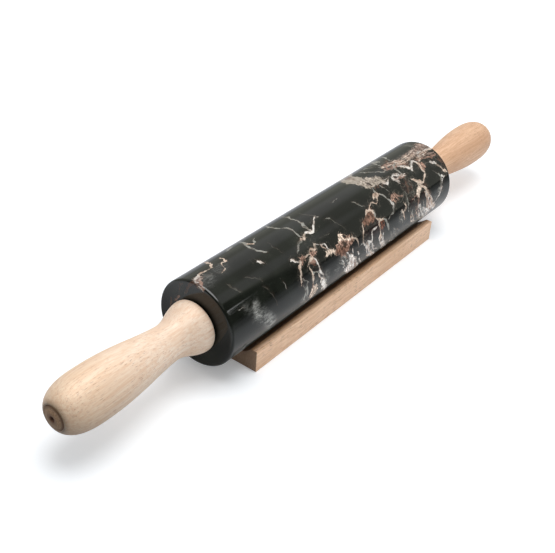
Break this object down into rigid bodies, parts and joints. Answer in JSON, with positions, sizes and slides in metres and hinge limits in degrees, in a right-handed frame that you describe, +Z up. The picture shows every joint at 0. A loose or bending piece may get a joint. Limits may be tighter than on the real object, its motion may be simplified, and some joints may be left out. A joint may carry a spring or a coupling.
{
  "type": "marble rolling pin",
  "caption": "Dark veined marble rolling pin that turns on a steel axle between turned beech handles, lying in a long low wooden cradle with a curved trough.",
  "frame": {"origin": "on the table under the middle of the cradle, midway along the barrel", "axes": "+X along the barrel towards the right handle, +Y across the cradle, +Z up"},
  "size_m": [0.4694, 0.058, 0.0631],
  "materials": {
    "black_marble": "polished near-black marble with white, grey and rust veins",
    "handle_wood": "turned and sanded pale beech",
    "plug_wood": "end grain of pale beech",
    "cradle_wood": "planed and oiled beech",
    "axle_steel": "bright drawn steel",
    "fastener_steel": "zinc plated steel",
    "bearing_nylon": "natural nylon",
    "washer_nylon": "natural nylon"
  },
  "bodies": {
    "cradle": {"cradle": "cradle_wood"},
    "axle_and_handles": {"axle_rod": "axle_steel", "left_thrust_washer": "washer_nylon", "right_thrust_washer": "washer_nylon", "left_handle": "handle_wood", "right_handle": "handle_wood", "left_nut_washer": "fastener_steel", "right_nut_washer": "fastener_steel", "left_nut": "fastener_steel", "right_nut": "fastener_steel", "left_end_plug": "plug_wood", "right_end_plug": "plug_wood"},
    "barrel": {"marble_barrel": "black_marble", "left_bearing": "bearing_nylon", "right_bearing": "bearing_nylon"}
  },
  "joints": [
    {"name": "pin_lift", "type": "slide", "parent": "cradle", "child": "axle_and_handles", "axis": [0, 0, 1], "range_m": [0, 0.1]},
    {"name": "barrel_spin", "type": "hinge", "parent": "axle_and_handles", "child": "barrel", "pos_m": [0, 0, 0.0346], "axis": [1, 0, 0], "continuous": true}
  ]
}
